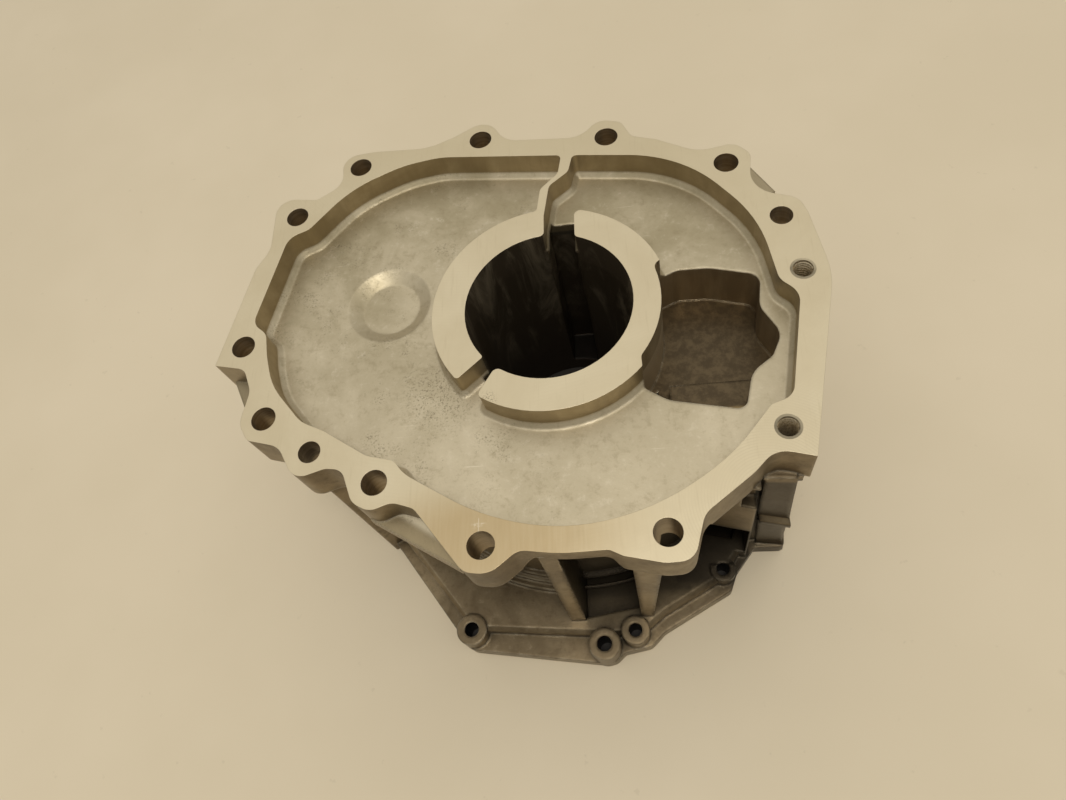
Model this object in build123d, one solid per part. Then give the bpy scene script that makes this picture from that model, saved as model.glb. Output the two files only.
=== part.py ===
from build123d import *
import os
from math import acos, cos, hypot, radians, sin, tan

# One die-cast housing for a gearbox, drawn in millimetres.
# The main bore's axis is the Z axis and the machined joint face is the plane z = 0.
# +X runs to the right of the joint face and +Z points out of it; the foot stands below.

HEIGHT = 100.0            # joint face to the underside of the foot
FLANGE_T = 17.0           # thickness of the joint flange
LOBE_T = 15.0             # thickness of its front right lobe
LIP_T = 7.0               # thickness of the flange where its front edge is relieved
LIP_INSET = 3.7           # how far the relief reaches in from the flange's front edge
LIP_EDGE = 89.7           # distance of that edge from the main bore's axis
TRAY_DEPTH = 11.0         # joint face to the tray floor
TRAY_EASE = 1.9           # sloping foot of the cast tray walls
TRAY_FLOOR = 6.0          # thickness of the tray floor
CORNER_FILLET = 2.0       # rounding of the upright corners where the rib meets the walls

BORE_R = 30.0             # main bore
RING_R = 42.2             # outside of the land around the bore
RING_CUT = 2.7            # how much the deep side pocket cuts into the land
SLOT_W = 11.4             # slot through the land above the oil channel
CHANNEL_REACH = 13.2      # how far the oil channel reaches into the bore's wall
SMALL_REACH = 3.5         # the same for the small channel
CHANNEL_FOOT = 8.0        # where both channels end, above the underside
TUBE_WALL = 12.2          # wall of the tube that carries the bore down to the foot
DEEP_FLOOR = 31.0         # joint face to the floor of the deep side pocket
DEEP_RISE = 6.0           # raised step at the front of that floor
DEEP_WALL = 5.0           # thickness of the pocket's box

HOLE_R = 4.5              # clearance holes for the joint screws
DOWEL_R = 4.0             # reamed holes for the two dowels
DOWEL_DEPTH = 12.0
DOWEL_PILOT_R = 2.8       # smaller hole drilled on under each dowel hole
TAP_R = 3.4               # minor radius of the two tapped holes
TAP_DEPTH = 21.0

WALL = 5.0                # wall of the lower body
TUB_R = 75.0              # outside of the round chamber
RIB_T = 4.0               # stiffening ribs under the tray floor
RIB_DEEP = 15.0           # how far those ribs hang down
PLATE_H = 12.0            # foot plate above the underside
RIM_H = 6.0               # thin outer rim above the underside
FOOT_FLOOR = 4.0          # floor left under the openings of the front
WINDOW_H = 18.5           # top of the front window above the underside
OPENING_H = 40.0          # lower edge of the tall wall at the front right

# Corners of the joint flange as x, y and the radius that rounds each corner.
FLANGE = [
    (-123.8, -13.4, 0.3), (-115.1, 29.4, 11.3), (-110.3, 37.7, 12.5), (-111.2, 63.8, 6.6),
    (-93.9, 60.9, 3.0), (-83.5, 67.3, 8.0), (-85.2, 82.4, 6.5), (-71.6, 83.2, 5.9),
    (-48.6, 81.3, 25.0), (-38.2, 85.5, 6.0), (-24.0, 93.2, 7.6), (-16.9, 80.1, 10.0),
    (13.5, 76.5, 11.1), (20.9, 85.0, 7.2), (29.8, 82.0, 4.0), (33.4, 73.9, 4.0),
    (42.5, 70.7, 9.4), (57.7, 61.8, 14.0), (71.1, 63.8, 6.0), (76.6, 57.9, 5.5),
    (74.2, 40.8, 10.9), (90.4, 34.5, 7.0), (92.5, 27.5, 6.0), (96.4, 1.2, 36.7),
    (81.2, -64.2, 0.3), (69.4, -61.0, 7.9), (62.4, -68.1, 25.0), (46.5, -80.1, 8.0),
    (42.4, -94.0, 7.0), (34.0, -94.4, 10.0), (21.8, -91.7, 4.0), (17.6, -89.6, 3.0),
    (2.7, -90.1, 60.1),
    (-9.8, -88.4, 5.6), (-18.8, -95.5, 8.7), (-26.8, -94.4, 6.0), (-43.8, -73.2, 5.0),
    (-51.3, -70.7, 6.5), (-58.7, -73.4, 6.4), (-65.0, -69.9, 6.5), (-69.6, -58.1, 5.5),
    (-75.7, -57.4, 5.5), (-86.4, -60.7, 6.3), (-93.6, -48.0, 7.5), (-105.8, -44.8, 3.1),
    (-109.9, -38.1, 8.0), (-107.9, -25.4, 8.0), (-111.8, -16.0, 4.9),
]

# Corners of the tray that is sunk into the joint face.
TRAY = [
    (-103.5, 42.9, 7.5), (-95.3, 46.0, 7.0), (-79.6, 64.6, 60.0), (-58.4, 73.6, 42.0),
    (-43.4, 75.6, 33.2), (11.0, 67.8, 60.0), (51.3, 61.2, 62.8), (75.4, 28.2, 60.8),
    (79.0, 0.7, 6.2), (85.0, -5.3, 7.5), (77.3, -43.5, 6.0), (70.2, -45.8, 3.4),
    (56.4, -62.2, 80.0), (33.7, -76.8, 80.0), (6.7, -83.0, 80.0), (-20.5, -77.6, 80.0),
    (-48.0, -61.1, 16.0), (-51.8, -56.1, 4.0), (-61.4, -53.8, 10.0), (-77.9, -43.3, 6.0),
    (-86.8, -39.2, 13.2), (-100.0, -23.8, 45.0), (-103.9, -10.9, 45.0), (-105.7, -1.5, 6.0),
    (-111.8, 3.6, 5.5),
]

# Corners of the deep side pocket at the tray floor.
DEEP = [
    (36.0, 11.8, 0.3), (46.0, 16.4, 7.0), (57.3, 16.1, 18.0), (75.0, 11.0, 4.9),
    (72.9, -2.3, 8.0), (79.0, -13.8, 7.5), (74.8, -22.5, 5.0), (67.3, -28.0, 10.0),
    (63.9, -41.7, 3.4), (39.0, -36.2, 12.0), (31.4, -31.0, 2.0), (30.9, -18.0, 0.3),
]

# Kinked rib from the land to the far tray wall: x and the share of the way across.
RIB_LEFT = [(-4.2, -0.1), (-2.6, 0.36), (4.4, 0.6), (6.2, 1.0)]
RIB_RIGHT = [(10.9, 1.0), (8.4, 0.61), (0.9, 0.4), (-1.2, -0.1)]
RIB_KINK = 4.5            # rounding of the rib's kinks

# Walls of the small slot at the front left: a point on each wall and its direction.
SMALL_SLOT = [(-22.9, -19.6, 42.2), (-19.8, -26.4, 59.3)]

# Rounding of the corners of the land in plan: direction from the bore's axis in degrees,
# 0 at the bore or 1 at the outside, and the radius as a share of the land's width.
LAND_CORNERS = [
    (92.3, 0, 0.16), (70.1, 0, 0.15), (76.0, 1, 0.19), (95.7, 1, 0.16),
    (220.6, 0, 0.07), (221.0, 1, 0.11), (233.1, 0, 0.19), (236.1, 1, 0.16),
]
RIB_REACH = 71.0          # bore axis to the rib's far end

# Screw holes of the joint face.
SCREW_HOLES = [
    (-101.2, 53.1), (-76.8, 75.6), (-26.8, 82.3), (-113.9, -6.3), (23.7, 75.2),
    (67.3, 54.7), (-100.9, -36.9), (-57.9, -63.5), (-21.5, -86.3), (35.3, -85.2),
]
DOWEL_HOLES = [(83.4, 27.5), (-82.0, -50.9)]
TAPPED_HOLES = [(87.2, 4.0), (74.2, -53.8)]

# Screw bosses of the foot: x, y, boss radius, height above the underside, hole.
FOOT_BOSSES = [
    (-45.3, -94.2, 6.2, 13.0, 2.9), (8.1, -101.7, 6.2, 15.5, 2.9), (20.2, -96.6, 5.6, 13.5, 2.6),
    (55.9, -74.0, 5.0, 12.8, 2.6), (78.0, 48.5, 6.6, 13.0, 2.9), (-2.0, 80.5, 6.6, 13.0, 2.9),
    (-106.0, 55.0, 6.6, 13.0, 2.9), (-112.5, -4.0, 6.6, 13.0, 2.9),
]

# Stepped rings around the foot of the chamber: how far each stands out, and its height.
RING_STEPS = [(6.2, 15.0), (3.6, 17.5), (2.0, 20.5)]

RIB_ANGLES = [120, 160, 200]   # stiffening ribs under the tray floor

# Outline of the thin rim of the foot.
RIM = [
    (-86.5, -49.0, 4.0), (-47.0, -101.0, 6.2), (5.0, -107.4, 6.0), (11.5, -107.6, 4.5),
    (15.5, -103.9, 3.0), (26.0, -101.8, 5.0), (31.5, -96.4, 8.0), (58.8, -81.2, 3.0),
    (61.8, -73.8, 3.0), (69.4, -64.2, 1.0), (81.2, -64.4, 2.0), (89.0, 0.0, 20.0),
    (83.0, 36.0, 10.0), (64.0, 58.0, 10.0), (26.0, 75.0, 15.0), (-78.0, 77.0, 12.0),
    (-104.0, 55.0, 10.0), (-116.0, 2.0, 12.0),
]

# Outline of the raised plate on that rim.
PLATE = [
    (-80.5, -50.0, 3.0), (-45.5, -94.0, 4.0), (4.0, -97.5, 4.0), (13.0, -98.0, 3.0),
    (24.0, -97.0, 4.0), (32.0, -90.5, 6.0), (55.6, -77.4, 4.0), (67.0, -61.5, 2.0),
    (60.0, -40.0, 2.0), (-60.0, -36.0, 2.0),
]

# Outline of the deep walled body under the tray.
BODY = [
    (-84.2, -55.8, 1.0), (-62.0, -43.8, 1.0), (46.0, -62.9, 1.0), (65.7, -68.0, 0.6),
    (65.9, -60.8, 0.6), (77.4, -60.4, 2.0), (86.0, -36.0, 8.0), (88.0, 2.0, 16.0),
    (80.0, 32.0, 12.0), (60.0, 54.0, 12.0), (25.0, 70.5, 12.0), (-30.0, 76.0, 20.0),
    (-76.0, 70.5, 10.0), (-99.5, 52.0, 10.0), (-112.0, 2.0, 10.0), (-106.0, -20.0, 10.0),
]

# Relief under the flange's front edge, in X and the share of the way from lip to flange.
RELIEF = [
    (-12.0, 1.1), (-10.5, 0.85), (-5.8, 0.0), (15.8, 0.0), (18.4, 0.25), (19.6, 0.6),
    (20.8, 0.78), (20.8, 1.1),
]

# Sections of the side bracket: height above the underside as a share of the way down
# from the flange, then left and right edge in X and the front face at both, in Y.
BRACKET = [
    (1.02, 66.8, 77.2, -64.4, -65.2), (0.77, 67.3, 77.9, -64.2, -65.4),
    (0.53, 68.4, 79.0, -62.8, -65.0), (0.515, 68.8, 79.4, -64.8, -67.2),
    (0.48, 68.8, 79.4, -64.8, -67.2),
]
BRACKET_LOW = [
    (0.49, 68.4, 78.6, -63.6, -65.2), (0.10, 70.4, 80.3, -61.6, -62.6),
    (0.06, 70.6, 81.0, -62.6, -63.8), (0.0, 70.9, 81.3, -62.6, -63.8),
]


def corner(before, here, after):
    """Start, middle and end of the arc that rounds one corner of an outline."""
    ax, ay = before[0] - here[0], before[1] - here[1]
    bx, by = after[0] - here[0], after[1] - here[1]
    la, lb = hypot(ax, ay), hypot(bx, by)
    ax, ay, bx, by = ax / la, ay / la, bx / lb, by / lb
    half = acos(max(-1.0, min(1.0, ax * bx + ay * by))) / 2
    reach = min(here[2] / tan(half), 0.49 * min(la, lb))
    radius = reach * tan(half)
    mx, my = ax + bx, ay + by
    lm = hypot(mx, my)
    away = hypot(radius, reach)
    near = away - radius
    start = (here[0] + ax * reach, here[1] + ay * reach)
    middle = (here[0] + mx / lm * near, here[1] + my / lm * near)
    end = (here[0] + bx * reach, here[1] + by * reach)
    return start, middle, end


def rounded(points):
    """Flat face through the corners, each one rounded to its own radius."""
    count = len(points)
    arcs = [corner(points[i - 1], points[i], points[(i + 1) % count]) for i in range(count)]
    edges = []
    for i in range(count):
        start, middle, end = arcs[i]
        edges.append(ThreePointArc(start, middle, end))
        edges.append(Line(end, arcs[(i + 1) % count][0]))
    return make_face(Wire(edges))


def prism(points, top, bottom):
    """Upright block over an outline, from one depth below the joint face to another."""
    return extrude(Pos(0, 0, -bottom) * rounded(points), bottom - top, dir=(0, 0, 1))


def post(x, y, radius, top, bottom):
    """Upright round bar between two depths."""
    return Pos(x, y, -(top + bottom) / 2) * Cylinder(radius, bottom - top)


def box(x0, x1, y0, y1, top, bottom):
    """Upright square block between two depths."""
    size = Box(x1 - x0, y1 - y0, bottom - top)
    return Pos((x0 + x1) / 2, (y0 + y1) / 2, -(top + bottom) / 2) * size


def sharp_corners(face):
    """Corners of a flat face where two edges meet at an angle."""
    found = []
    for point in face.vertices():
        ways = []
        for edge in face.edges():
            for at in (0, 1):
                if (edge @ at - Vector(point)).length < 0.001:
                    ways.append(edge % at)
        if len(ways) == 2 and abs(ways[0].cross(ways[1]).Z) > 0.1:
            found.append(point)
    return found


def above(height):
    """Depth below the joint face of something at a height above the underside."""
    return HEIGHT - height


def rib_outline():
    """Corners of the kinked rib, spread between the land and the far wall."""
    span = RIB_REACH - RING_R
    points = []
    for x, share in RIB_LEFT + RIB_RIGHT:
        radius = RIB_KINK if 0 < share < 1 else 0.3
        points.append((x, RING_R + share * span, radius))
    return points


def slot_walls():
    """Wedge of the small slot in plan, from inside the bore to outside the land."""
    (ax, ay, left), (bx, by, right) = SMALL_SLOT
    inward, outward = 5.0, RING_R - BORE_R + 6.0
    corners = []
    for x, y, turn, reach in ((ax, ay, left, inward), (ax, ay, left, -outward),
                              (bx, by, right, -outward), (bx, by, right, inward)):
        corners.append((x + reach * cos(radians(turn)), y + reach * sin(radians(turn))))
    return make_face(Polyline(*corners, close=True))


def land_outline():
    """The land around the bore in plan, with its two slots and the kinked rib."""
    ring = Circle(RING_R) - Pos(4.5, RING_R) * Rectangle(SLOT_W, 2 * (RING_R - BORE_R + 4))
    ring -= slot_walls()
    ring -= Circle(BORE_R)
    ring += rounded(rib_outline())
    land = ring
    width = RING_R - BORE_R
    for turn, outside, share in LAND_CORNERS:
        away, radius = BORE_R + outside * width, share * width
        x, y = away * cos(radians(turn)), away * sin(radians(turn))
        spots = [v for v in sharp_corners(land) if hypot(v.X - x, v.Y - y) < width / 4]
        if spots:
            nearest = min(spots, key=lambda v: hypot(v.X - x, v.Y - y))
            land = fillet(nearest, radius)
    return land


def sunk(plan, depth, corner_radius, foot):
    """Space sunk from the joint face: upright corners rounded, then the foot sloped."""
    spots = sharp_corners(plan)
    space = extrude(Pos(0, 0, -depth) * plan, depth + 1, dir=(0, 0, 1))
    upright = []
    for edge in space.edges().filter_by(Axis.Z):
        middle = edge.center()
        if any(hypot(middle.X - spot.X, middle.Y - spot.Y) < 0.05 for spot in spots):
            upright.append(edge)
    if upright:
        space = fillet(upright, corner_radius)
    if foot == 0:
        return space
    low = space.edges().filter_by_position(Axis.Z, -depth - 0.01, -depth + 0.01)
    return chamfer(low, foot)


def tray():
    """Space of the tray around the land and through the two slots."""
    plan = rounded(TRAY) - land_outline()
    wide = max(plan.faces(), key=lambda face: face.area)
    return sunk(wide, TRAY_DEPTH, CORNER_FILLET, TRAY_EASE)


def deep_pocket():
    """Space of the deep side pocket, with the raised step left standing at its front."""
    plan = rounded(DEEP) - Circle(RING_R - RING_CUT)
    space = sunk(plan, DEEP_FLOOR, 3.0, 0)
    return space - box(40.0, 80.0, -60.0, -23.5, DEEP_FLOOR - DEEP_RISE, DEEP_FLOOR + 1)


def dimple():
    """Shallow round recess with a sloping edge in the tray floor."""
    return Pos(-63.1, 13.8, -TRAY_DEPTH - 1.0) * Cone(12.1 - 0.9, 17.4 + 0.9, 4.0)


def web(start, end, width, inner_top, outer_top):
    """Sloping web under the flange between two lobes; its outer edge runs start to end."""
    dx, dy = end[0] - start[0], end[1] - start[1]
    length = hypot(dx, dy)
    plane = Plane(origin=(start[0], start[1], 0), x_dir=(-dy / length, dx / length, 0),
                  z_dir=(dx / length, dy / length, 0))
    profile = Polyline((0, -FLANGE_T), (0, -outer_top), (width, -inner_top),
                       (width, -FLANGE_T), close=True)
    return extrude(plane * make_face(profile), length, dir=plane.z_dir)


def relief():
    """Space under the thin front lip of the flange."""
    points = [(x, -LIP_T - share * (FLANGE_T - LIP_T)) for x, share in RELIEF]
    face = Plane(origin=(0, -LIP_EDGE - 10, 0), x_dir=(1, 0, 0), z_dir=(0, -1, 0)) * make_face(
        Polyline(*points, close=True))
    return extrude(face, 10 + LIP_INSET, dir=(0, 1, 0))


def upper_body():
    """Joint flange with its sloping webs, before the tray and the holes."""
    part = prism(FLANGE, 0.0, FLANGE_T)
    part += web((-62.5, -72.0), (-31.0, -90.3), 20.0, 8.5, 12.0)
    part += web((-122.6, -13.0), (-110.4, -37.0), 12.0, 9.0, 12.0)
    part += web((85.5, 49.5), (78.0, 62.8), 14.0, 10.0, 13.0)
    part -= box(20.8, 52.0, -100.0, -78.0, LOBE_T, FLANGE_T + 1)
    return part - relief()


def eased(points, top, bottom, size):
    """Upright block with its top edges bevelled."""
    block = prism(points, top, bottom)
    upper = block.edges().filter_by_position(Axis.Z, -top - 0.01, -top + 0.01)
    return chamfer(upper, size)


def foot():
    """Foot of the housing: thin rim, raised plate, stepped rings and screw bosses."""
    part = prism(RIM, above(RIM_H), HEIGHT)
    part += eased(PLATE, above(PLATE_H), above(RIM_H) + 1, 1.8)
    front = box(-120, 120, -30, 120, 0, HEIGHT + 1)
    for out, height in RING_STEPS:
        part += post(0, 0, TUB_R + out, above(height), HEIGHT) - front
    for x, y, radius, height, hole in FOOT_BOSSES:
        part += post(x, y, radius, above(height), HEIGHT)
    return part


def lower_body():
    """Deep walled body and round chamber between the tray floor and the foot."""
    part = prism(BODY, FLANGE_T - 1, HEIGHT)
    part += post(0, 0, TUB_R, FLANGE_T - 1, HEIGHT)
    return part


def upright(x0, x1, y_top, y_foot, top):
    """Upright gusset at the front of the chamber, leaning out a little to the foot plate."""
    side = Polyline((-60.0, -top), (y_top, -top), (y_foot, -above(PLATE_H) - 1),
                    (-60.0, -above(PLATE_H) - 1), close=True)
    plane = Plane(origin=(x0, 0, 0), x_dir=(0, 1, 0), z_dir=(1, 0, 0))
    return extrude(plane * make_face(side), x1 - x0, dir=(1, 0, 0))


def tapered_upright():
    """Gusset under the front right lobe that narrows from the flange to the foot."""
    low = above(PLATE_H) + 1
    face = Polyline((23.6, -LOBE_T + 1), (33.2, -LOBE_T + 1), (27.4, -low),
                    (22.9, -low), close=True)
    plane = Plane(origin=(0, -91.2, 0), x_dir=(1, 0, 0), z_dir=(0, -1, 0))
    return extrude(plane * make_face(face), 31.2, dir=(0, 1, 0))


def small_gusset():
    """Thin three-cornered gusset between the lip and the chamber's wall."""
    side = Polyline((-60.0, -LIP_T + 1), (-88.4, -LIP_T + 1), (-TUB_R + 1, -45.0),
                    (-60.0, -45.0), close=True)
    plane = Plane(origin=(4.8, 0, 0), x_dir=(0, 1, 0), z_dir=(1, 0, 0))
    return extrude(plane * make_face(side), 1.8, dir=(1, 0, 0))


def bracket_stack(sections):
    """Straight-sided block through level sections, each with a slanted front face."""
    part = None
    drop = HEIGHT - FLANGE_T
    faces = []
    for share, x0, x1, y0, y1 in sections:
        outline = Polyline((x0, -58.0), (x0, y0), (x1, y1), (x1, -58.0), close=True)
        faces.append(Pos(0, 0, -above(share * drop)) * make_face(outline))
    for upper, lower in zip(faces, faces[1:]):
        block = loft([upper, lower], ruled=True)
        part = block if part is None else part + block
    return part


def side_bracket():
    """Block under the sharp right corner of the flange, with its ledge and foot."""
    part = bracket_stack(BRACKET) + bracket_stack(BRACKET_LOW)
    part += box(69.5, 79.2, -64.2, -58.0, FLANGE_T - 1, FLANGE_T + 3)
    return part


def hollow():
    """Open space of the lower body, reached from underneath."""
    top = TRAY_DEPTH + TRAY_FLOOR
    face = Pos(0, 0, -HEIGHT - 1) * offset(rounded(BODY), amount=-WALL)
    space = extrude(face, HEIGHT + 1 - top, dir=(0, 0, 1))
    space += post(0, 0, TUB_R - WALL, top, HEIGHT + 1)
    space -= post(0, 0, BORE_R + TUBE_WALL, top - 1, HEIGHT + 2)
    wall = BORE_R + CHANNEL_REACH + WALL
    space -= box(4.5 - SLOT_W / 2 - WALL, 4.5 + SLOT_W / 2 + WALL, 20.0, wall, top - 1, HEIGHT + 2)
    space -= box(36.0, 84.0, -46.5, 21.0, top - 1, DEEP_FLOOR + DEEP_WALL)
    for angle in RIB_ANGLES:
        space -= Rot(0, 0, angle) * box(38.0, 140.0, -RIB_T / 2, RIB_T / 2, top - 1,
                                        top + RIB_DEEP)
    space -= box(40.0, 70.0, -64.0, -46.0, above(FOOT_FLOOR), HEIGHT + 2)
    space -= box(0.0, 24.0, -TUB_R, -TUB_R + 13, above(FOOT_FLOOR), HEIGHT + 2)
    return space


def front_windows():
    """Openings in the front: between the two gussets, and under the right-hand wall."""
    low = above(FOOT_FLOOR)
    sill = Polyline((0.9, -66.0), (0.9, -91.1), (22.2, -87.4), (22.2, -66.0), close=True)
    space = extrude(Pos(0, 0, -low) * make_face(sill), WINDOW_H - FOOT_FLOOR, dir=(0, 0, 1))
    space -= post(0, 0, TUB_R + 4.3, above(12.8), above(11.4)) - post(0, 0, TUB_R + 3.3,
                                                                    above(14), above(10))
    space += box(46.5, 65.0, -72.0, -56.0, above(OPENING_H), above(PLATE_H))
    space += box(60.5, 67.4, -72.0, -62.5, FLANGE_T, 2 * FLANGE_T + 1)
    return space


def bore():
    """Main bore with the two oil channels that run down its wall."""
    space = post(0, 0, BORE_R, -1.0, HEIGHT + 1)
    low = above(CHANNEL_FOOT)
    space += box(4.5 - SLOT_W / 2, 4.5 + SLOT_W / 2, 20.0, BORE_R + CHANNEL_REACH,
                 TRAY_DEPTH - 1, low)
    small = slot_walls() & Circle(BORE_R + SMALL_REACH)
    space += extrude(Pos(0, 0, -low) * small, low - TRAY_DEPTH + 1, dir=(0, 0, 1))
    return space


def holes():
    """Every drilled hole of the joint flange and the foot."""
    space = post(*SCREW_HOLES[0], HOLE_R, -1.0, FLANGE_T + 8)
    for x, y in SCREW_HOLES[1:]:
        space += post(x, y, HOLE_R, -1.0, FLANGE_T + 8)
    for x, y in DOWEL_HOLES:
        space += post(x, y, DOWEL_R, -1.0, DOWEL_DEPTH)
        space += post(x, y, DOWEL_PILOT_R, -1.0, FLANGE_T + 12)
    for x, y in TAPPED_HOLES:
        space += post(x, y, TAP_R, -1.0, TAP_DEPTH)
    for x, y, radius, height, hole in FOOT_BOSSES:
        space += post(x, y, hole, above(height) - 5, HEIGHT + 1)
    return space


os.makedirs("parts", exist_ok=True)
part = upper_body() + lower_body() + foot() + side_bracket()
part += upright(-4.7, 1.0, -LIP_EDGE + 0.3, -92.0, LIP_T - 1)
part += tapered_upright()
part += small_gusset()
part -= hollow()
part -= front_windows()
part -= tray()
part -= deep_pocket()
part -= dimple()
part -= bore()
part -= holes()
export_step(part, "parts/housing_casting.step")
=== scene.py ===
import math

import bpy
from mathutils import Matrix, Vector


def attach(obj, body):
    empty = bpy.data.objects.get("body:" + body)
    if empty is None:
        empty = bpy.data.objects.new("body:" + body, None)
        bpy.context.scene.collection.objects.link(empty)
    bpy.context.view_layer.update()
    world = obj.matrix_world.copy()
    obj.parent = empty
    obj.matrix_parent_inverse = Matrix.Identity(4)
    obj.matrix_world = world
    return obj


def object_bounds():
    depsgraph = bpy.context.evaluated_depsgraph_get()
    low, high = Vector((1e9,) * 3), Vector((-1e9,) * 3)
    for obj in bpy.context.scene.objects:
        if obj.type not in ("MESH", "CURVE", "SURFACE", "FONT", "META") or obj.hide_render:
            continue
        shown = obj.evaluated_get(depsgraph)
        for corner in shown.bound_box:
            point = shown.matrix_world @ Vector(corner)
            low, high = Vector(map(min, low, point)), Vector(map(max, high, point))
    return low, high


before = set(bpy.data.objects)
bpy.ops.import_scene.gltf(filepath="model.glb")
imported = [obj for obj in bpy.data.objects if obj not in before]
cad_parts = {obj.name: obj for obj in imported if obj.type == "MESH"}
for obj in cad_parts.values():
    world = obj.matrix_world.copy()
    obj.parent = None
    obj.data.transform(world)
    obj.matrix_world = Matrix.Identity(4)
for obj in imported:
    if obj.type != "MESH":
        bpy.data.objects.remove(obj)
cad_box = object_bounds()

# Holes of the casting, as x and y in metres.
SCREW_HOLES = [
    (-0.1012, 0.0531), (-0.0768, 0.0756), (-0.0268, 0.0823), (-0.1139, -0.0063), (0.0237, 0.0752),
    (0.0673, 0.0547), (-0.1009, -0.0369), (-0.0579, -0.0635), (-0.0215, -0.0863), (0.0353, -0.0852),
]
DOWEL_HOLES = [(0.0834, 0.0275), (-0.0820, -0.0509)]
TAPPED_HOLES = [(0.0872, 0.0040), (0.0742, -0.0538)]
FOOT_HOLES = [(-0.0453, -0.0942), (0.0081, -0.1017), (0.0202, -0.0966), (0.0559, -0.0740)]

# Around a hole, a mask is 1 within the first of these distances and 0 past the second, in metres.
DRILLED_WALL = (0.00465, 0.0048)
DOWEL_LEDGE = (0.0047, 0.0049)
FOOT_HOLE_WALL = (0.0030, 0.0031)
DARK_UNDER_BORE = (0.0330, 0.0345)
DARK_UNDER_HOLE = (0.0034, 0.0036)

# Places in plan, in metres.
TRAY_MIDDLE = (-0.012, -0.003)
SMALL_SLOT = (-0.041, -0.028)
LAND_STAIN = (-0.0205, -0.0362)
TARNISH_MIDDLE = (-0.018, -0.084)
TARNISH_SQUEEZE = 0.42
CLEAR_ARCS = (0.066, -0.076)
FAINT_ARCS = (-0.02, 0.12)

# The line through the two front left screw holes, by one point and its fall.
WEB_POINT = (-0.0579, -0.0635)
WEB_FALL = 0.626

# Zones of the casting. Each ramp is an axis, where the ramp is 0 and where it is 1, in metres.
ZONES = {
    "deep_pocket": (("x", 0.0302, 0.0308), ("x", 0.0815, 0.0809), ("y", -0.0438, -0.0432),
                    ("y", 0.0181, 0.0175), ("z", -0.0332, -0.0328), ("z", -0.0111, -0.0115)),
    "bracket": (("x", 0.0650, 0.0668), ("y", -0.0575, -0.0600), ("z", -0.0175, -0.0200)),
    "posts": (("x", -0.0070, -0.0050), ("x", 0.0510, 0.0490), ("y", -0.1050, -0.1030),
              ("y", -0.0590, -0.0610), ("z", -0.0910, -0.0870), ("z", -0.0180, -0.0220)),
    "wall_panel": (("x", 0.038, 0.042), ("x", 0.070, 0.066), ("y", -0.088, -0.084),
                   ("y", -0.043, -0.047), ("z", -0.061, -0.059), ("z", -0.017, -0.019)),
    "rib": (("x", -0.0070, -0.0060), ("x", 0.0130, 0.0120), ("y", 0.0390, 0.0410), ("y", 0.0725, 0.0705)),
    "front_web": (("x", -0.0690, -0.0670), ("x", -0.0170, -0.0190)),
    "right_web": (("x", 0.0700, 0.0720), ("y", 0.0360, 0.0380)),
    "web_edge": (("x", -0.066, -0.062), ("x", -0.024, -0.028), ("y", -0.094, -0.090),
                 ("y", -0.056, -0.060), ("z", -0.036, -0.032)),
    "under_wall": (("x", 0.0350, 0.0380), ("x", 0.0695, 0.0665), ("y", -0.0850, -0.0770),
                   ("z", -0.0560, -0.0620)),
    "window": (("x", -0.004, 0.000), ("x", 0.046, 0.042), ("y", -0.0850, -0.0800), ("z", -0.0230, -0.0260)),
    "behind_lobe": (("x", 0.044, 0.047), ("y", -0.086, -0.083), ("z", -0.016, -0.018)),
    "dowel_ledge": (("z", -0.0150, -0.0140), ("z", -0.0090, -0.0100)),
    "scratch": (("x", -0.02255, -0.02235), ("x", -0.02215, -0.02235), ("y", -0.0836, -0.0828),
                ("y", -0.0772, -0.0780)),
    "scuff": (("x", -0.0252, -0.0228), ("x", -0.0193, -0.0217), ("y", -0.0811, -0.0801),
              ("y", -0.0787, -0.0797)),
}

# Radius in metres to which the shading rounds the edges of each zone.
ROUND_CAST = 0.0014
ROUND_POSTS = 0.0034
ROUND_BRACKET = 0.0026
ROUND_FOOT = 0.0013
ROUND_JOINT_FACE = 0.00022

# Heights of the relief, pitches of the cutter's arcs and reach of the shade, in metres.
MOTTLE_HEIGHT = 0.00006
GRAIN_HEIGHT = 0.00002
SPECK_DEPTH = 0.00003
ARC_HEIGHT = 0.0000045
BRUSHED_HEIGHT = 0.000003
TURNED_HEIGHT = 0.000004
CLEAR_PITCH = 0.00095
FAINT_PITCH = 0.0013
SHADE_REACH = 0.045

# Bevelled mouth of a tapped hole, in metres.
TAP_RADIUS = 0.0034
MOUTH_SLOPE = 0.9
MOUTH_DEPTH = 0.0008

# M8 thread in metres, standing in the drilled wall.
THREAD_TOP = -0.0011
THREAD_BOTTOM = -0.0202
THREAD_PITCH = 0.00125
THREAD_ROOT = 0.00343
THREAD_CREST = 0.00306
THREAD_STEPS = 40
ROOT_SHARE = 0.42
CREST_SHARE = 0.10

TABLE_HALF = 3.0
TABLE_GAP = 0.0002
ROOM_DIM = 0.34
ROOM_BRIGHT = 0.86

# Camera at the photograph's viewing angle.
LENS = 26.558
CAMERA_POSE = (
    (0.9853783, 0.0777259, 0.1516189, 0.034195),
    (0.0, 0.8898827, -0.4561894, -0.156422),
    (-0.1703808, 0.4495191, 0.8768711, 0.227978),
    (0.0, 0.0, 0.0, 1.0),
)


# Nodes

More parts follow.
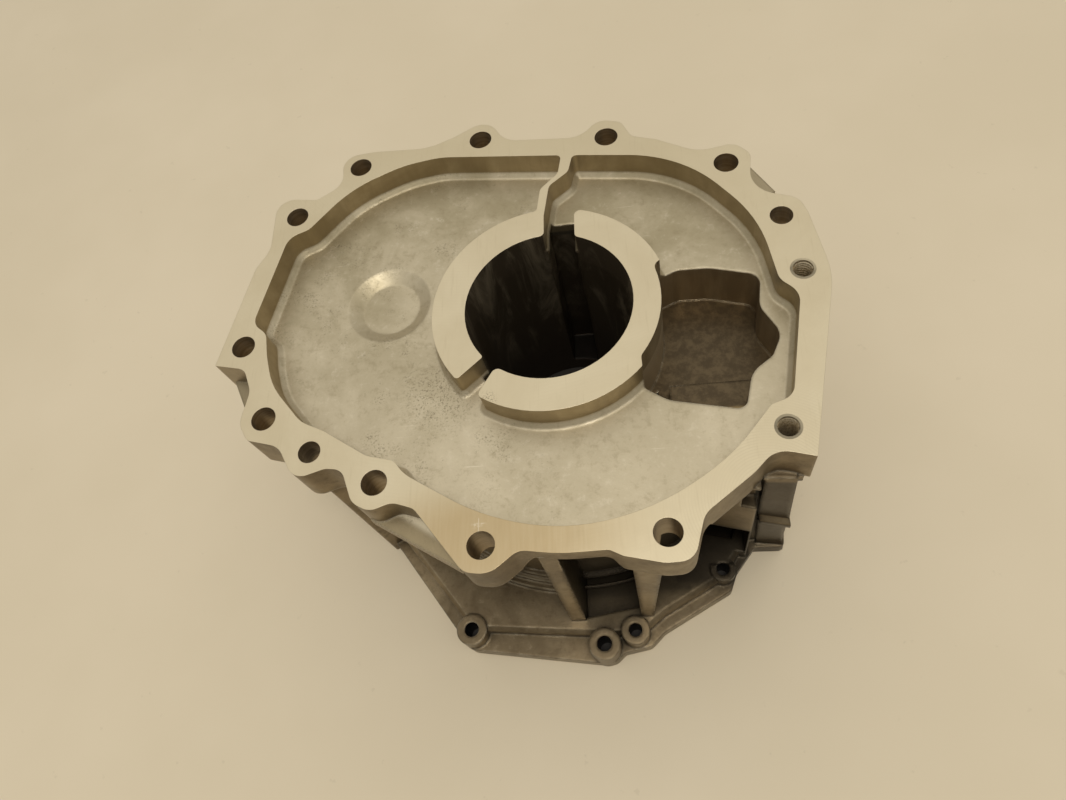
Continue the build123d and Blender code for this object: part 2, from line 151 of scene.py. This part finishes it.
class Tree:
    """A thin layer over a material's node tree: each call adds a node and returns its output."""

    def __init__(self, tree):
        self.tree = tree
        self.count = 0

    def node(self, kind, **settings):
        made = self.tree.nodes.new(kind)
        made.location = (self.count % 14 * 190, -(self.count // 14) * 320)
        self.count += 1
        for name, value in settings.items():
            setattr(made, name, value)
        return made

    def put(self, socket, value):
        if hasattr(value, "is_output"):
            self.tree.links.new(value, socket)
        elif isinstance(value, (tuple, list)) and len(socket.default_value) == len(value) + 1:
            socket.default_value = (*value, 1.0)
        else:
            socket.default_value = value

    def math(self, operation, a, b=0.0, c=0.0, clamp=False):
        made = self.node("ShaderNodeMath", operation=operation, use_clamp=clamp)
        for socket, value in zip(made.inputs, (a, b, c)):
            self.put(socket, value)
        return made.outputs[0]

    def add(self, a, b):
        return self.math("ADD", a, b)

    def sub(self, a, b):
        return self.math("SUBTRACT", a, b)

    def mul(self, a, *more):
        for factor in more:
            a = self.math("MULTIPLY", a, factor)
        return a

    def most(self, a, *more):
        for other in more:
            a = self.math("MAXIMUM", a, other)
        return a

    def invert(self, a):
        return self.math("SUBTRACT", 1.0, a, clamp=True)

    def step(self, value, empty, full):
        """0 at empty and 1 at full, smooth between them, whichever of the two is larger."""
        made = self.node("ShaderNodeMapRange", interpolation_type="SMOOTHSTEP")
        self.put(made.inputs[0], value)
        rising = empty < full
        numbers = (empty, full, 0.0, 1.0) if rising else (full, empty, 1.0, 0.0)
        for socket, number in zip(list(made.inputs)[1:5], numbers):
            socket.default_value = number
        return made.outputs[0]

    def mix(self, factor, a, b):
        made = self.node("ShaderNodeMix", data_type="RGBA")
        self.put(made.inputs[0], factor)
        self.put(made.inputs[6], a)
        self.put(made.inputs[7], b)
        return made.outputs[2]

    def lerp(self, factor, a, b):
        made = self.node("ShaderNodeMix", data_type="FLOAT")
        self.put(made.inputs[0], factor)
        self.put(made.inputs[2], a)
        self.put(made.inputs[3], b)
        return made.outputs[0]

    def noise(self, vector, scale, detail, roughness, distortion=0.0):
        made = self.node("ShaderNodeTexNoise")
        self.put(made.inputs["Vector"], vector)
        made.inputs["Scale"].default_value = scale
        made.inputs["Detail"].default_value = detail
        made.inputs["Roughness"].default_value = roughness
        made.inputs["Distortion"].default_value = distortion
        return made.outputs["Fac"]

    def stretch(self, vector, scale, turn=0.0):
        made = self.node("ShaderNodeMapping")
        self.put(made.inputs["Vector"], vector)
        made.inputs["Rotation"].default_value = (0.0, 0.0, math.radians(turn))
        made.inputs["Scale"].default_value = scale
        return made.outputs[0]

    def split(self, vector):
        made = self.node("ShaderNodeSeparateXYZ")
        self.put(made.inputs[0], vector)
        return made.outputs[0], made.outputs[1], made.outputs[2]

    def join(self, x, y, z):
        made = self.node("ShaderNodeCombineXYZ")
        for socket, value in zip(made.inputs, (x, y, z)):
            self.put(socket, value)
        return made.outputs[0]

    def vector(self, operation, a, b, output="Value"):
        made = self.node("ShaderNodeVectorMath", operation=operation)
        self.put(made.inputs[0], a)
        self.put(made.inputs[1], b)
        return made.outputs[output]

    def away(self, plan, x, y):
        """Distance in plan from the place x, y."""
        return self.vector("DISTANCE", plan, (x, y, 0.0))

    def spots(self, plan, places, near, far):
        """1 within near of any of the places in plan, fading to 0 at far."""
        return self.most(*[self.step(self.away(plan, x, y), far, near) for x, y in places])


def colour(red, green, blue):
    """A colour written in the 0 to 255 steps of a display, as the linear colour a shader takes."""
    def linear(v):
        v = v / 255.0
        return v / 12.92 if v <= 0.04045 else ((v + 0.055) / 1.055) ** 2.4
    return (linear(red), linear(green), linear(blue))


def new_material(name):
    material = bpy.data.materials.new(name)
    material.use_nodes = True
    material.node_tree.nodes.clear()
    t = Tree(material.node_tree)
    shader = t.node("ShaderNodeBsdfPrincipled")
    output = t.node("ShaderNodeOutputMaterial")
    material.node_tree.links.new(shader.outputs[0], output.inputs[0])
    return material, t, shader


# Cast and machined aluminium

class Surface:
    """A point of the casting: its place and facing, the textures there and the masks of its surfaces."""

    def __init__(self, t):
        self.t = t
        self.place = t.node("ShaderNodeTexCoord").outputs["Object"]
        self.facing = t.node("ShaderNodeNewGeometry").outputs["Normal"]
        self.x, self.y, self.z = t.split(self.place)
        self.nx, self.ny, self.nz = t.split(self.facing)
        self.plan = t.join(self.x, self.y, 0.0)
        self.radius = t.away(self.plan, 0.0, 0.0)
        self.add_textures()
        self.add_masks()

    def add_textures(self):
        t = self.t
        self.clouds = t.noise(self.place, 26.0, 5.0, 0.6, 0.5)
        self.mottle = t.noise(self.place, 230.0, 8.0, 0.75, 0.15)
        self.grain = t.noise(self.place, 1500.0, 3.0, 0.6)
        self.streaks = t.noise(t.stretch(self.place, (160.0, 160.0, 30.0)), 1.0, 4.0, 0.6)
        self.brushed = t.noise(t.stretch(self.place, (900.0, 60.0, 1.0), 8), 1.0, 3.0, 0.6)
        self.turned = t.noise(t.stretch(self.place, (90.0, 90.0, 1400.0)), 1.0, 3.0, 0.6)

    def add_masks(self):
        t = self.t
        self.up = t.step(self.nz, 0.90, 0.985)
        self.level = t.step(t.math("ABSOLUTE", self.nz), 0.35, 0.75)
        self.joint = t.mul(self.up, t.step(self.z, -0.0006, -0.0002))
        sole = t.mul(t.step(self.nz, -0.9, -0.98), t.step(self.z, -0.0994, -0.0998))
        self.milled = t.most(self.joint, sole)
        bore = t.mul(t.step(self.radius, 0.0306, 0.0303), t.invert(self.up))
        channels = t.mul(t.step(self.radius, 0.0450, 0.0445), t.step(self.z, -0.0160, -0.0170),
                         t.step(self.x, 0.0300, 0.0290))
        self.bore = t.most(bore, channels)
        self.deep = self.zone("deep_pocket")
        self.bracket = self.zone("bracket")
        self.posts = self.zone("posts")
        self.foot = t.step(self.z, -0.0830, -0.0850)
        drilled = self.spots(SCREW_HOLES + DOWEL_HOLES + TAPPED_HOLES, *DRILLED_WALL)
        self.drilled = t.mul(drilled, t.invert(self.joint), t.step(self.z, -0.0235, -0.0225))
        self.cast = t.invert(t.most(self.milled, self.drilled, self.bore))

        # The tray: walls that face its middle, the foot of the land, the rib and what lies level.
        outward_x = t.mul(self.nx, t.sub(self.x, TRAY_MIDDLE[0]))
        outward_y = t.mul(self.ny, t.sub(self.y, TRAY_MIDDLE[1]))
        inward = t.step(t.add(outward_x, outward_y), 0.004, -0.008)
        floor = t.most(self.up, t.mul(self.level, t.step(self.radius, 0.0840, 0.0820)))
        inside = t.most(inward, t.step(self.radius, 0.0470, 0.0460), self.zone("rib"), floor)
        shallow = t.step(self.z, -0.0150, -0.0145)

        # The sloping webs between lobes: two at the left and one at the right.
        past_x = t.mul(t.sub(self.x, WEB_POINT[0]), WEB_FALL)
        past_line = t.add(past_x, t.sub(self.y, WEB_POINT[1]))
        webs = t.mul(t.step(past_line, -0.0030, -0.0060), self.zone("front_web"))
        left_web = t.mul(t.step(self.radius, 0.1065, 0.1085), t.step(self.y, -0.0110, -0.0130))
        webs = t.most(webs, left_web, self.zone("right_web"))
        self.tray = t.mul(shallow, inside, t.invert(self.joint), t.invert(webs))
        self.webs = t.mul(webs, self.level, t.invert(self.joint), t.step(self.z, -0.030, -0.028))

    def zone(self, name):
        """1 where every ramp of the zone is full."""
        along = {"x": self.x, "y": self.y, "z": self.z}
        return self.t.mul(*[self.t.step(along[axis], empty, full) for axis, empty, full in ZONES[name]])

    def spots(self, places, near, far):
        return self.t.spots(self.plan, places, near, far)


def tray_tone(t, s):
    """Tray floor, paler at the front, and its walls."""
    floor = t.mix(t.step(s.clouds, 0.33, 0.68), colour(170, 158, 129), colour(202, 190, 163))
    floor = t.mix(t.mul(t.step(s.y, 0.035, -0.055), 0.45), floor, colour(210, 198, 172))
    floor = t.mix(t.mul(t.step(s.mottle, 0.50, 0.68), 0.36), floor, colour(148, 135, 106))
    floor = t.mix(t.mul(t.step(s.mottle, 0.46, 0.30), 0.36), floor, colour(222, 211, 188))
    wall = t.mix(t.step(s.clouds, 0.35, 0.65), colour(156, 140, 108), colour(184, 168, 136))
    wall = t.mix(t.mul(t.step(s.streaks, 0.40, 0.62), 0.3), wall, colour(138, 122, 92))
    return t.mix(s.level, wall, floor)


def outside_tone(t, s):
    """Cast outside: darker at the front, partly as painted shade, paler toward the back, and darker at the
    bracket as painted shade.
    """
    tone = t.mix(t.step(s.clouds, 0.3, 0.7), colour(98, 84, 62), colour(148, 132, 104))
    tone = t.mix(t.mul(t.step(s.mottle, 0.50, 0.68), 0.5), tone, colour(84, 71, 51))
    tone = t.mix(t.mul(t.step(s.mottle, 0.46, 0.30), 0.25), tone, colour(180, 164, 136))
    # Darker toward the front and paler toward the back: the front's darkness is partly painted shade.
    tone = t.mix(t.mul(t.step(s.y, -0.055, 0.010), 0.62), tone, colour(186, 173, 147))
    tone = t.mix(t.mul(s.zone("wall_panel"), 0.45), tone, colour(92, 78, 56))
    # Painted shade on the bracket, heavier on its walls than on its level faces.
    tone = t.mix(t.mul(s.bracket, t.lerp(s.level, 0.88, 0.35)), tone, colour(52, 44, 33))
    return t.mix(t.mul(s.webs, 0.6), tone, colour(172, 157, 124))


def pocket_tone(t, s):
    """Deep side pocket: floor darkened partly as a darker cast skin and partly as painted shade of the
    recess, its raised front step painted lighter as lit, and its wall at the land painted paler as a
    highlight.
    """
    wall = t.mix(t.step(s.streaks, 0.35, 0.65), colour(140, 122, 94), colour(162, 144, 114))
    # Painted highlight: the wall facing +x, at the land, is painted paler.
    wall = t.mix(t.step(s.nx, 0.35, 0.75), wall, colour(196, 180, 150))
    # Dark floor: partly a darker cast skin, partly painted shade of the deep recess.
    floor = t.mix(t.step(s.mottle, 0.38, 0.60), colour(98, 84, 62), colour(78, 66, 48))
    # Painted light: the raised front step stands higher out of the pocket's shade and is painted lighter
    # than the floor.
    floor = t.mix(t.step(s.y, -0.0330, -0.0345), floor, colour(150, 129, 90))
    return t.mix(s.level, wall, floor)


def bore_tone(t, s):
    """Stained wall of the bore and its channels, darker toward the foot, with painted shade on the level
    faces at the foot.
    """
    smear = t.noise(t.stretch(s.place, (60.0, 60.0, 16.0)), 1.0, 6.0, 0.7, 1.2)
    tone = t.mix(t.step(smear, 0.46, 0.66), colour(104, 91, 72), colour(176, 161, 134))
    tone = t.mix(t.step(s.z, -0.030, -0.085), tone, colour(74, 63, 49))
    # Painted shade: level faces at the foot of the bore and its channels are painted near black.
    return t.mix(t.mul(s.level, t.step(s.z, -0.080, -0.085)), tone, colour(24, 20, 15))


def face_tone(t, s, arcs):
    """Milled joint face, browner near the front left lobe, with painted shade toward the back."""
    face = t.mix(t.step(s.clouds, 0.3, 0.7), colour(208, 194, 163), colour(217, 204, 174))
    # Painted shade: the face is darker toward the back.
    face = t.mix(t.mul(t.step(s.y, 0.02, 0.085), 0.5), face, colour(200, 186, 154))
    squeezed_x = t.mul(t.sub(s.x, TARNISH_MIDDLE[0]), TARNISH_SQUEEZE)
    squeezed = t.join(squeezed_x, t.sub(s.y, TARNISH_MIDDLE[1]), 0.0)
    near_lobe = t.step(t.away(squeezed, 0.0, 0.0), 0.024, 0.007)
    tarnish = t.mul(near_lobe, t.lerp(s.brushed, 0.55, 1.0), t.step(s.radius, 0.050, 0.060))
    face = t.mix(t.mul(tarnish, 0.9), face, colour(180, 156, 114))
    face = t.mix(t.mul(arcs, 0.17), face, colour(176, 160, 126))
    return t.mix(t.mul(t.step(s.brushed, 0.56, 0.74), 0.22), face, colour(188, 173, 140))


def dark_specks(t, s):
    """Specks on the tray floor, thickest by the small slot and at the left-hand front."""
    patch = t.step(t.noise(s.place, 70.0, 6.0, 0.7), 0.50, 0.64)
    patch = t.mul(patch, t.lerp(t.step(s.x, 0.02, -0.03), 0.10, 0.75))
    patch = t.most(patch, t.mul(s.spots([SMALL_SLOT], 0.004, 0.020), 0.9))
    return t.mul(t.step(t.noise(s.place, 1300.0, 5.0, 0.75), 0.52, 0.62), patch, s.tray, s.level)


def cutter_arcs(t, s):
    """Arcs left by the cutter on the milled face, clearest at the right-hand front."""
    near = t.away(s.plan, *CLEAR_ARCS)
    far = t.away(s.plan, *FAINT_ARCS)
    fine = t.math("SINE", t.mul(near, 2 * math.pi / CLEAR_PITCH))
    wide = t.math("SINE", t.mul(far, 2 * math.pi / FAINT_PITCH))
    faint = t.mul(t.step(wide, 0.2, 0.95), 0.22, t.step(s.clouds, 0.42, 0.6))
    clear = t.mul(t.step(fine, 0.0, 0.9), t.step(near, 0.046, 0.022), t.step(s.clouds, 0.35, 0.60))
    return t.add(faint, clear)


def tray_scratches(t, s):
    """Short bright scratches on the tray floor, in three directions."""
    lines = []
    for turn, seed in ((12, 0.0), (71, 3.1), (-38, 6.4)):
        moved = t.vector("ADD", s.place, (seed, seed * 0.7, 0.0), "Vector")
        drawn = t.noise(t.stretch(moved, (30.0, 1500.0, 1.0), turn), 1.0, 1.0, 0.5)
        patch = t.step(t.noise(moved, 55.0, 2.0, 0.5), 0.60, 0.66)
        lines.append(t.mul(t.step(drawn, 0.70, 0.78), patch))
    return t.mul(t.most(*lines), s.tray, s.up)


def lobe_scratch(t, s):
    """The pale scratch and the scuff beside it on the front left lobe."""
    scuff = t.mul(s.zone("scuff"), t.step(t.noise(s.place, 900.0, 3.0, 0.6), 0.45, 0.62))
    return t.mul(t.most(s.zone("scratch"), scuff), s.joint)


def rounding(t, s):
    """Normal with the edges rounded, and how far it turns away from the facet's own."""
    radius = t.lerp(s.posts, ROUND_CAST, ROUND_POSTS)
    radius = t.lerp(s.bracket, radius, ROUND_BRACKET)
    radius = t.lerp(s.foot, radius, ROUND_FOOT)
    radius = t.lerp(t.step(s.z, -0.0012, -0.0004), radius, ROUND_JOINT_FACE)
    bevel = t.node("ShaderNodeBevel", samples=5)
    t.put(bevel.inputs["Radius"], radius)
    rounded = bevel.outputs[0]
    return rounded, t.sub(1.0, t.vector("DOT_PRODUCT", rounded, s.facing))


def wear_highlight_and_shade(t, s, tone, edge, turned_away):
    """Painted shade on the sides of the posts, painted shade gathered under the flange and in the openings,
    and edges paled partly as wear and partly as painted highlight.
    """
    open_cast = t.mul(s.cast, t.invert(s.tray), t.invert(s.deep))
    sky = t.node("ShaderNodeAmbientOcclusion", samples=5, only_local=True)
    sky.inputs["Distance"].default_value = SHADE_REACH
    shade = t.mul(t.step(sky.outputs["AO"], 0.70, 0.15), open_cast)
    # Painted shade in the opening under the right-front wall and in the window.
    opening_shade = t.most(s.zone("under_wall"), t.mul(s.zone("window"), 0.85))
    opening_shade = t.mul(opening_shade, t.step(s.y, -0.0340, -0.0400), open_cast)

    # Painted shade on the sides of the posts, where they round away.
    post_side_shade = t.mul(s.posts, t.step(turned_away, 0.01, 0.20), 0.6, s.cast)
    tone = t.mix(post_side_shade, tone, colour(58, 49, 36))
    tone = t.mix(t.mul(t.most(shade, opening_shade), 0.88), tone, colour(32, 27, 20))

    # Edges paled partly as wear and partly as painted highlight; a painted highlight runs along the front
    # web's top edge, and the pale is held back where shade is painted.
    wear_and_highlight = t.mul(edge, t.lerp(t.step(s.mottle, 0.38, 0.60), 0.62, 0.12), t.invert(s.posts))
    wear_and_highlight = t.most(wear_and_highlight, t.mul(edge, s.zone("web_edge"), 0.85))
    hidden = t.most(opening_shade, shade, s.zone("behind_lobe"))
    wear_and_highlight = t.mul(wear_and_highlight, t.invert(t.mul(hidden, 0.8)))
    return t.mix(wear_and_highlight, tone, colour(222, 211, 186))


def surface_relief(t, s, specks, arcs):
    """Height in metres: cast grain, cutter marks and the bevelled mouths of the tapped holes."""
    relief = t.mul(t.add(t.mul(s.mottle, MOTTLE_HEIGHT), t.mul(s.grain, GRAIN_HEIGHT)), s.cast)
    relief = t.sub(relief, t.mul(specks, SPECK_DEPTH))
    relief = t.add(relief, t.mul(arcs, s.joint, ARC_HEIGHT))
    relief = t.add(relief, t.mul(s.brushed, s.milled, BRUSHED_HEIGHT))
    relief = t.add(relief, t.mul(s.turned, s.drilled, TURNED_HEIGHT))
    for x, y in TAPPED_HOLES:
        past_wall = t.most(t.sub(t.away(s.plan, x, y), TAP_RADIUS), 0.0)
        mouth = t.math("MINIMUM", t.mul(past_wall, MOUTH_SLOPE), MOUTH_DEPTH)
        relief = t.add(relief, t.mul(mouth, s.joint))
    return relief


def casting_material():
    material, t, shader = new_material("cast_and_machined_aluminium")
    s = Surface(t)
    specks = dark_specks(t, s)
    arcs = cutter_arcs(t, s)
    rounded, turned_away = rounding(t, s)
    edge = t.mul(t.step(turned_away, 0.015, 0.22), s.cast, t.step(s.z, -0.0002, -0.0016))
    # Painted highlight: the ledge in the dowel holes is painted near white, with little metal, so that it
    # shows bright.
    ledge = t.mul(s.spots(DOWEL_HOLES, *DOWEL_LEDGE), s.level, s.zone("dowel_ledge"))
    stain = t.mul(s.spots([LAND_STAIN], 0.0010, 0.0042), s.joint, t.step(s.grain, 0.5, 0.6))
    # Painted shade on the walls of the foot's holes.
    foot_hole_shade = s.spots(FOOT_HOLES, *FOOT_HOLE_WALL)
    foot_hole_shade = t.mul(foot_hole_shade, t.step(s.z, -0.080, -0.083), t.invert(s.level))
    hole_wall = t.mix(t.step(s.turned, 0.35, 0.65), colour(146, 129, 102), colour(168, 151, 123))

    tone = t.mix(s.tray, outside_tone(t, s), tray_tone(t, s))
    tone = t.mix(s.deep, tone, pocket_tone(t, s))
    tone = t.mix(t.mul(specks, 0.65), tone, colour(88, 76, 55))
    tone = t.mix(t.mul(tray_scratches(t, s), 0.5), tone, colour(232, 222, 200))
    tone = t.mix(s.milled, tone, face_tone(t, s, arcs))
    tone = t.mix(t.mul(lobe_scratch(t, s), 0.45), tone, colour(242, 234, 214))
    tone = t.mix(t.mul(stain, 0.6), tone, colour(110, 96, 72))
    tone = t.mix(s.bore, tone, bore_tone(t, s))
    tone = t.mix(foot_hole_shade, tone, colour(44, 37, 28))
    tone = t.mix(s.drilled, tone, hole_wall)
    tone = wear_highlight_and_shade(t, s, tone, edge, turned_away)
    # Painted highlight on the dowel ledge.
    tone = t.mix(ledge, tone, colour(246, 238, 220))
    t.put(shader.inputs["Base Color"], tone)

    t.put(shader.inputs["Metallic"], t.lerp(ledge, t.lerp(s.milled, 0.80, 0.86), 0.1))
    rough = t.lerp(s.milled, t.lerp(s.tray, 0.36, 0.46), 0.38)
    rough = t.add(rough, t.mul(t.sub(s.mottle, 0.5), 0.22))
    rough = t.sub(rough, t.mul(edge, 0.08))
    t.put(shader.inputs["Roughness"], t.math("MINIMUM", t.most(rough, 0.24), 0.75))

    bump = t.node("ShaderNodeBump")
    bump.inputs["Strength"].default_value = 1.0
    bump.inputs["Distance"].default_value = 1.0
    t.put(bump.inputs["Height"], surface_relief(t, s, specks, arcs))
    t.put(bump.inputs["Normal"], rounded)
    t.put(shader.inputs["Normal"], bump.outputs[0])
    return material


def thread_material():
    material, t, shader = new_material("cut_thread")
    place = t.node("ShaderNodeTexCoord").outputs["Object"]
    fine = t.noise(place, 2200.0, 3.0, 0.6)
    tone = t.mix(t.step(fine, 0.35, 0.65), colour(176, 158, 126), colour(214, 200, 170))
    t.put(shader.inputs["Base Color"], tone)
    shader.inputs["Metallic"].default_value = 0.8
    t.put(shader.inputs["Roughness"], t.lerp(fine, 0.28, 0.42))
    return material


def new_object(name, points, faces, material):
    mesh = bpy.data.meshes.new(name)
    mesh.from_pydata(points, [], faces)
    mesh.materials.append(material)
    made = bpy.data.objects.new(name, mesh)
    bpy.context.scene.collection.objects.link(made)
    return made


def thread(name, x, y, material):
    """Crests of an M8 thread standing in a tapped hole."""
    count = int((THREAD_TOP - THREAD_BOTTOM) / THREAD_PITCH * THREAD_STEPS)
    profile = ((THREAD_ROOT, ROOT_SHARE), (THREAD_CREST, CREST_SHARE),
               (THREAD_CREST, -CREST_SHARE), (THREAD_ROOT, -ROOT_SHARE))
    corners = len(profile)
    points = []
    faces = []
    for i in range(count + 1):
        turn = 2 * math.pi * i / THREAD_STEPS
        height = THREAD_TOP - THREAD_PITCH * i / THREAD_STEPS
        for away, up in profile:
            points.append((x + away * math.cos(turn), y + away * math.sin(turn), height + up * THREAD_PITCH))
    for i in range(count):
        for k in range(corners - 1):
            a = corners * i + k
            faces.append((a, a + 1, a + corners + 1, a + corners))
    last = corners * count
    faces.append((0, 3, 2, 1))
    faces.append((last, last + 1, last + 2, last + 3))
    made = new_object(name, points, faces, material)
    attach(made, "root")


# Table, light and camera

def table(height):
    """Pale table, dark under the bore and under the foot's holes, where no light reaches it."""
    material, t, shader = new_material("pale_table")
    place = t.node("ShaderNodeTexCoord").outputs["Object"]
    soft = t.noise(place, 5.0, 4.0, 0.6)
    marks = t.mul(t.step(t.noise(place, 160.0, 3.0, 0.6), 0.68, 0.74), 0.18)
    tone = t.mix(t.step(soft, 0.3, 0.7), colour(213, 199, 171), colour(219, 205, 178))
    tone = t.mix(marks, tone, colour(176, 162, 134))
    x, y = t.split(place)[:2]
    plan = t.join(x, y, 0.0)
    under_bore = t.spots(plan, [(0.0, 0.0)], *DARK_UNDER_BORE)
    dark = t.most(under_bore, t.spots(plan, FOOT_HOLES, *DARK_UNDER_HOLE))
    t.put(shader.inputs["Base Color"], t.mix(dark, tone, colour(34, 28, 21)))
    shader.inputs["Roughness"].default_value = 0.65
    corners = [(-TABLE_HALF, -TABLE_HALF, height), (TABLE_HALF, -TABLE_HALF, height),
               (TABLE_HALF, TABLE_HALF, height), (-TABLE_HALF, TABLE_HALF, height)]
    new_object("table", corners, [(0, 1, 2, 3)], material)


def lamp(name, place, target, size, power):
    data = bpy.data.lights.new(name, "AREA")
    data.shape = "SQUARE"
    data.size = size
    data.energy = power
    data.color = (1.0, 0.97, 0.91)
    made = bpy.data.objects.new(name, data)
    made.location = place
    aim = Vector(target) - Vector(place)
    made.rotation_euler = aim.to_track_quat("-Z", "Y").to_euler()
    bpy.context.scene.collection.objects.link(made)


def studio():
    """Soft room: brightest overhead and a little behind, dimmer toward the horizon."""
    world = bpy.data.worlds.new("studio")
    bpy.context.scene.world = world
    world.use_nodes = True
    world.node_tree.nodes.clear()
    t = Tree(world.node_tree)
    toward = t.node("ShaderNodeTexCoord").outputs["Generated"]
    overhead = t.vector("DOT_PRODUCT", toward, (0.0, 0.29, 0.957))
    background = t.node("ShaderNodeBackground")
    background.inputs[0].default_value = (1.0, 0.965, 0.895, 1.0)
    t.put(background.inputs[1], t.lerp(t.step(overhead, 0.10, 0.95), ROOM_DIM, ROOM_BRIGHT))
    output = t.node("ShaderNodeOutputWorld")
    world.node_tree.links.new(background.outputs[0], output.inputs[0])


def add_camera():
    data = bpy.data.cameras.new("camera")
    data.sensor_width = 36.0
    data.sensor_fit = "HORIZONTAL"
    data.lens = LENS
    camera = bpy.data.objects.new("camera", data)
    bpy.context.scene.collection.objects.link(camera)
    camera.matrix_world = Matrix(CAMERA_POSE)
    bpy.context.scene.camera = camera


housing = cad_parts["housing_casting"]
skin = casting_material()
if not housing.material_slots:
    housing.data.materials.append(skin)
for held in housing.material_slots:
    held.material = skin

cut = thread_material()
thread("thread_right", *TAPPED_HOLES[0], cut)
thread("thread_front", *TAPPED_HOLES[1], cut)

table(cad_box[0][2] - TABLE_GAP)
studio()
lamp("overhead", place=(0.12, -0.42, 1.60), target=(0, 0, -0.02), size=0.42, power=8.0)
add_camera()
bpy.context.scene.view_settings.view_transform = "Standard"
